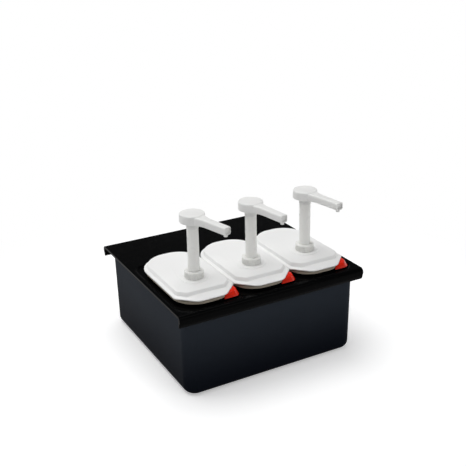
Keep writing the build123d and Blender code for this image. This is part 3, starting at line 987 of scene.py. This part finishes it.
@dataclass
class Head(Piece):
    """The press head: domed knob, grooved neck, flowing spout and nozzle."""

    radius: float = 23.5 * MM
    height: float = 17.5 * MM
    dome: float = 0.9 * MM
    rim: float = 2.4 * MM
    under_rim: float = 1.44 * MM
    neck: float = 11.4 * MM
    neck_chamfer: float = 0.4 * MM
    neck_flare: float = 12.6 * MM
    grooves: int = 3
    groove: float = 0.9 * MM
    groove_pitch: float = 2.6 * MM
    groove_half: Point = (0.3 * MM, 0.8 * MM)
    groove_start: float = 0.2
    socket: float = 8.6 * MM
    socket_depth: float = 17.1 * MM
    spout_length: float = 91 * MM
    spout_root: float = 34 * MM
    spout_waist: float = 17.6 * MM
    spout_tip: float = 15.4 * MM
    spout_high: float = 15.2 * MM
    spout_low: float = 14.6 * MM
    spout_round: Rounding = (3.4 * MM, 5)
    top_drop: float = 2.2 * MM
    tip_drop: float = 4.6 * MM
    flow_end: float = 42 * MM
    sections: int = 26
    nozzle_back: float = 5.5 * MM
    nozzle_radius: float = 3.5 * MM
    nozzle_bore: float = 2.3 * MM
    nozzle_drop: float = 4.0 * MM
    pocket: Place = (11.5 * MM, 10.5 * MM, 3.0 * MM)
    pocket_round: Rounding = (1.8 * MM, 4)
    voxel: float = 0.55 * MM
    relax_share: float = 0.5
    relax_steps: int = 14
    smooth_angle: float = math.radians(50)

    @property
    def tip_under(self) -> float:
        """Return the level of the spout's underside at its tip."""
        return self.top - self.tip_drop - self.spout_low

    @property
    def nozzle_place(self) -> Point:
        """Return the nozzle's place in plan."""
        return (self.x, self.pump_y - self.spout_length + self.nozzle_back)

    def build(self) -> bpy.types.Object:
        """Model the knob and the spout as one moulding, and add neck, nozzle and pocket.

        Returns:
            The finished head, turned to its angle.
        """
        spout = self._spout()
        moulding = self._knob().cut(spout, "UNION").done()
        self._soften(moulding)
        head = Shaper(self.station.node("press_head"))
        head.cut(self._pocket())
        levels = (self.bottom - MM, self.bottom + self.socket_depth)
        head.cut(Shaper.rod("socket", self.socket, levels, self.axis))
        levels = (self.tip_under - 5 * MM, self.tip_under + 4 * MM)
        head.cut(Shaper.rod("nozzle core", self.nozzle_bore, levels, self.nozzle_place, 40))
        head.join(self._neck(), self._nozzle())
        head.pick(head.piece)
        bpy.ops.object.shade_smooth_by_angle(angle=self.smooth_angle)
        self._turn(head.piece)
        return head.piece

    def _knob(self) -> Shaper:
        """Turn the knob with its dome and its rounded rims.

        Returns:
            The knob's shaper, in edit mode.
        """
        low, r, c, u = self.top - self.height, self.radius, self.rim, self.under_rim
        side = self.top - self.dome
        profile: List[Point] = [(0, low), (r - u, low)]
        for step in range(1, 4):
            angle = math.radians(22.5 * step)
            profile.append((r - u * (1 - math.sin(angle)), low + u * (1 - math.cos(angle))))
        profile += [(r, low + u), (r, side - c)]
        for step in range(1, 6):
            angle = math.radians(15 * step)
            profile.append((r - c * (1 - math.cos(angle)), side - c * (1 - math.sin(angle))))
        for step in range(5, 0, -1):
            share = step / 6
            profile.append(((r - c) * share, side + self.dome * (1 - share**2)))
        profile.append((0, self.top))
        return Shaper.turned("knob", profile, self.axis, 96)

    def _width(self, share: float) -> float:
        """Find the spout's width where it flows out of the knob.

        Args:
            share: The place along the spout, from 0 at the axis to 1 at its tip.

        Returns:
            The width there.
        """
        flow = min(share * self.spout_length / self.flow_end, 1.0)
        ease = flow * flow * (3 - 2 * flow)
        straight = self.spout_waist + (self.spout_tip - self.spout_waist) * share
        return self.spout_root + (straight - self.spout_root) * ease

    def _spout(self) -> bpy.types.Object:
        """Extrude the spout section by section, straight towards the front.

        Returns:
            The spout.
        """
        high = self.top - self.top_drop
        half = self._width(0) / 2
        low_corner = (self.x - half, self.pump_y, high - self.spout_high)
        spout = Shaper.block("spout", low_corner, (self.x + half, self.pump_y + MM, high))
        spout.faces(lambda c, n: n.y < -FACING)
        step = self.spout_length / self.sections
        tall = 1 + (self.spout_low / self.spout_high - 1) / self.sections
        drop = -(self.tip_drop - self.top_drop) / self.sections
        for number in range(1, self.sections + 1):
            before, after = (number - 1) / self.sections, number / self.sections
            place = (self.x, self.pump_y - number * step, high + number * drop)
            spout.extrude((0, -step, drop))
            spout.scale((self._width(after) / self._width(before), 1, tall), place)
        spout.edges(lambda a, b: abs(a.y - b.y) > 0.1 * MM and close(a.x, b.x, 3 * MM))
        return spout.bevel(*self.spout_round).done()

    def _soften(self, piece: bpy.types.Object) -> None:
        """Remesh the moulding evenly and relax it, so that its corners flow as moulded ones do."""
        Shaper.modify(piece, "even skin", "REMESH", mode="VOXEL", voxel_size=self.voxel)
        Shaper.modify(piece, "relaxed skin", "SMOOTH", factor=self.relax_share, iterations=self.relax_steps)

    def _pocket(self) -> bpy.types.Object:
        """Shape the recess in the spout's end.

        Returns:
            The cutter of the recess.
        """
        wide, tall, deep = self.pocket
        tip = self.pump_y - self.spout_length
        middle = self.tip_under + self.spout_low / 2
        low = (self.x - wide / 2, tip - MM, middle - tall / 2)
        pocket = Shaper.block("pocket", low, (self.x + wide / 2, tip + deep, middle + tall / 2))
        return pocket.edges(lambda a, b: abs(a.y - b.y) > MM).bevel(*self.pocket_round).done()

    def _nozzle(self) -> bpy.types.Object:
        """Turn the short nozzle under the spout's tip.

        Returns:
            The nozzle.
        """
        under, over = self.tip_under, self.tip_under + 0.3 * MM
        low, r, bore = under - self.nozzle_drop, self.nozzle_radius, self.nozzle_bore
        profile = (
            (bore, low), (r - 0.5 * MM, low), (r - 0.1 * MM, low + 0.3 * MM), (r, low + 0.8 * MM),
            (r + 0.1 * MM, under - 0.6 * MM), (r + 0.8 * MM, over), (bore, over), (bore, low),
        )
        return Shaper.turned("nozzle", profile, self.nozzle_place, 40).finish()

    def _neck(self) -> bpy.types.Object:
        """Turn the neck with its grooves and its flare under the knob.

        Returns:
            The neck.
        """
        under, over = self.top - self.height, self.top - self.height + 0.2 * MM
        low, r, inner, chamfer = self.bottom, self.neck, self.socket, self.neck_chamfer
        floor, half = self.groove_half
        deep, flare = r - self.groove, self.neck_flare
        profile: List[Point] = [(inner, low), (r - chamfer, low), (r, low + chamfer)]
        for number in range(self.grooves, 0, -1):
            level = under - (number + self.groove_start) * self.groove_pitch
            profile += [(r, level - half), (deep, level - floor), (deep, level + floor), (r, level + half)]
        profile += [(r + 0.2 * MM, under - 1.6 * MM), (flare, under - 0.3 * MM), (flare + 0.6 * MM, over),
                    (inner, over), (inner, low)]
        return Shaper.turned("neck", profile, self.axis, 96).finish()

    def _turn(self, piece: bpy.types.Object) -> None:
        """Turn the whole head about the pump's axis, inside its mesh."""
        centre = Matrix.Translation((self.x, self.pump_y, 0))
        piece.data.transform(centre @ Matrix.Rotation(self.station.turn, 4, "Z") @ centre.inverted())


@dataclass(frozen=True)
class Softbox:
    """A rectangular lamp that faces a point of the set."""

    name: str
    place: Place
    target: Place
    size: Point
    power: float

    def build(self) -> None:
        """Hang the lamp."""
        lamp = bpy.data.lights.new(self.name, "AREA")
        lamp.shape = "RECTANGLE"
        lamp.size, lamp.size_y = self.size
        lamp.energy = self.power
        holder = bpy.data.objects.new(self.name, lamp)
        aim = (Vector(self.target) - Vector(self.place)).to_track_quat("-Z", "Y").to_matrix().to_4x4()
        holder.matrix_world = Matrix.Translation(self.place) @ aim
        bpy.context.scene.collection.objects.link(holder)


@dataclass
class Studio:
    """Pale floor, white surround, softboxes and the camera of the photograph."""

    camera_place: Place = (-0.69547, -1.31021, 0.82378)
    heading: float = 0.49643
    tilt_down: float = 0.32827
    roll: float = -0.02013
    focal_pixels: float = 807.47
    axis_row: float = 185.99
    frame_pixels: float = 466.0
    sensor: float = 36.0
    wall_top: float = math.radians(11)
    ceiling: float = math.radians(19)
    ceiling_colour: Colour = (0.10, 0.10, 0.105)
    floor_half: float = 15.0
    floor_drop: float = 0.2 * MM
    floor_roughness: float = 0.9
    floor_grey: float = 0.93
    floor_glow: float = 0.36
    white_from: float = 0.30
    white_full: float = 0.8
    lamps: Tuple[Softbox, ...] = (
        Softbox("overhead softbox", (-0.25, 0.35, 1.75), (0, 0, 0.15), (1.9, 1.5), 27.0),
        Softbox("front softbox", (0.45, -1.35, 1.35), (0, -0.05, 0.25), (1.1, 0.7), 4.2),
        Softbox("left softbox", (-1.7, 0.1, 0.95), (0, 0, 0.25), (0.9, 1.3), 1.5),
        Softbox("right softbox", (1.7, -0.3, 0.8), (0, 0, 0.2), (0.5, 1.1), 2.0),
    )

    def build(self) -> None:
        """Set the view transform, the surround, the floor, the lamps and the camera."""
        bpy.context.scene.view_settings.view_transform = "Standard"
        self._surround()
        self._floor()
        for lamp in self.lamps:
            lamp.build()
        self._camera()

    def _surround(self) -> None:
        """Make a white wall of light round the horizon under a dark ceiling."""
        world = bpy.data.worlds.new("studio")
        bpy.context.scene.world = world
        world.use_nodes = True
        nodes, links = world.node_tree.nodes, world.node_tree.links
        split = nodes.new("ShaderNodeSeparateXYZ")
        links.new(nodes.new("ShaderNodeTexCoord").outputs["Generated"], split.inputs["Vector"])
        ramp = nodes.new("ShaderNodeValToRGB")
        ramp.color_ramp.interpolation = "EASE"
        wall, ceiling = ramp.color_ramp.elements
        wall.position, wall.color = math.sin(self.wall_top), (1, 1, 1, 1)
        ceiling.position, ceiling.color = math.sin(self.ceiling), (*self.ceiling_colour, 1)
        links.new(split.outputs["Z"], ramp.inputs["Fac"])
        links.new(ramp.outputs["Color"], nodes["Background"].inputs["Color"])

    def _floor(self) -> None:
        """Lay the pale floor."""
        Shaper.clear()
        bpy.ops.mesh.primitive_plane_add(size=2 * self.floor_half, location=(0, 0, -self.floor_drop))
        floor = bpy.context.active_object
        floor.name = "floor"
        bpy.ops.object.transform_apply(location=True, rotation=True, scale=True)
        floor.data.materials.append(self._floor_paint())

    def _floor_paint(self) -> bpy.types.Material:
        """Make a matt floor that keeps the set's shadow and turns into even white away from it.

        Returns:
            The floor's material.
        """
        paint = Paint("pale floor")
        paint.give({
            "Roughness": self.floor_roughness, "Specular IOR Level": 0.0, "Emission Color": (1, 1, 1, 1),
        })
        rays = paint.nodes.new("ShaderNodeLightPath").outputs
        seen = paint.combine("ADD", rays["Is Camera Ray"], rays["Is Glossy Ray"])
        seen = paint.combine("ADD", seen, rays["Is Transmission Ray"])
        reach = paint.nodes.new("ShaderNodeVectorMath")
        reach.operation = "LENGTH"
        paint.link(paint.place, reach.inputs[0])
        white = (self.white_from, self.white_full)
        away = paint.remap(reach.outputs["Value"], white, (0.0, 1.0), smooth=True)
        away = paint.combine("MULTIPLY", away, seen)
        paint.feed("Base Color", paint.remap(away, (0.0, 1.0), (self.floor_grey, 0.0), smooth=True))
        glow = paint.remap(away, (0.0, 1.0), (self.floor_glow, 1.0), smooth=True)
        paint.feed("Emission Strength", paint.combine("MULTIPLY", glow, seen))
        return paint.material

    def _camera(self) -> None:
        """Stand the camera where the photograph was taken."""
        lens = bpy.data.cameras.new("camera")
        lens.sensor_width = self.sensor
        lens.lens = self.sensor * self.focal_pixels / self.frame_pixels
        lens.shift_y = (self.axis_row - self.frame_pixels / 2) / self.frame_pixels
        lens.clip_start = 0.01
        camera = bpy.data.objects.new("camera", lens)
        turn = Matrix.Rotation(-self.heading, 4, "Z")
        tilt = Matrix.Rotation(math.pi / 2 - self.tilt_down, 4, "X")
        lean = Matrix.Rotation(self.roll, 4, "Z")
        camera.matrix_world = Matrix.Translation(self.camera_place) @ turn @ tilt @ lean
        bpy.context.scene.collection.objects.link(camera)
        bpy.context.scene.camera = camera


PART_FINISH: Dict[str, str] = {
    "jar": "jar", "corner_tab": "tab", "lid": "lid", "collar": "pump", "gasket": "seal", "cylinder": "pump",
    "guide_bush": "pump", "stem": "pump", "piston_seal": "seal", "piston_foot": "pump",
    "outlet_ball": "steel", "return_spring": "steel", "ball_cage": "pump", "inlet_ball": "steel",
    "dip_tube": "tube", "head": "head",
}
SHOWN: Tuple[Tuple[type, str, str, str], ...] = (
    (Lid, "lid", "lid_body", "lid_plastic"),
    (Jar, "jar", "jar_body", "jar_plastic"),
    (CornerTab, "corner_tab", "jar_body", "tab_plastic"),
    (Collar, "collar", "lid_body", "pump_plastic"),
    (Head, "head", "head_body", "head_plastic"),
)


def dress(piece: bpy.types.Object, material: bpy.types.Material) -> None:
    """Give a piece its one material.

    Args:
        piece: The piece.
        material: The material.
    """
    if not piece.data.materials:
        piece.data.materials.append(material)
    for number in range(len(piece.data.materials)):
        piece.data.materials[number] = material


@dataclass
class PumpStation:
    """One station: the pieces that are modelled here, and the nodes and bodies that they belong to."""

    station: Station
    finishes: Dict[str, bpy.types.Material]

    def build(self) -> None:
        """Dress the station's nodes, and model the pieces that show."""
        station = self.station
        for part, finish in PART_FINISH.items():
            dress(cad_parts[station.node(part)], self.finishes[finish])
        stem_low, stem_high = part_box(station.node("stem"))
        x, pump_y = (stem_low.x + stem_high.x) / 2, (stem_low.y + stem_high.y) / 2
        for kind, part, body, slot in SHOWN:
            piece = kind(station, x, pump_y, *self._levels(part)).build()
            self._seat(piece, part, body)
        winding = Spring(station, x, pump_y, self._levels("ball_cage")[1], self._levels("piston_foot")[0])
        spring = winding.build()
        self._seat(spring, "return_spring", "lid_body")
        station.node("pump_press")
        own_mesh(spring)

    def _levels(self, part: str) -> Point:
        """Return the underside and the top of one of the station's nodes."""
        low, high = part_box(self.station.node(part))
        return low.z, high.z

    def _seat(self, piece: bpy.types.Object, part: str, body: str) -> None:
        """Dress a finished piece, let it ride on a body and stand for a node.

        Args:
            piece: The finished piece.
            part: The part that it stands for.
            body: The station's body that carries it.
        """
        node, carrier = self.station.node(part), self.station.node(body)
        dress(piece, self.finishes[PART_FINISH[part]])
        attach(piece, carrier)
        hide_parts(node)
        log.info("%s stands for %s on %s", piece.name, node, carrier)


def main() -> None:
    """Build and dress every piece of the set, then the studio."""
    logging.basicConfig(level=logging.INFO, format="%(name)s: %(message)s")
    finishes = {name: finish.build() for name, finish in FINISHES.items()}
    for name in ("housing", "deck"):
        dress(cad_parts[name], finishes[name])
    for station in Station:
        PumpStation(station, finishes).build()
    Studio().build()


if __name__ == "__main__":
    main()
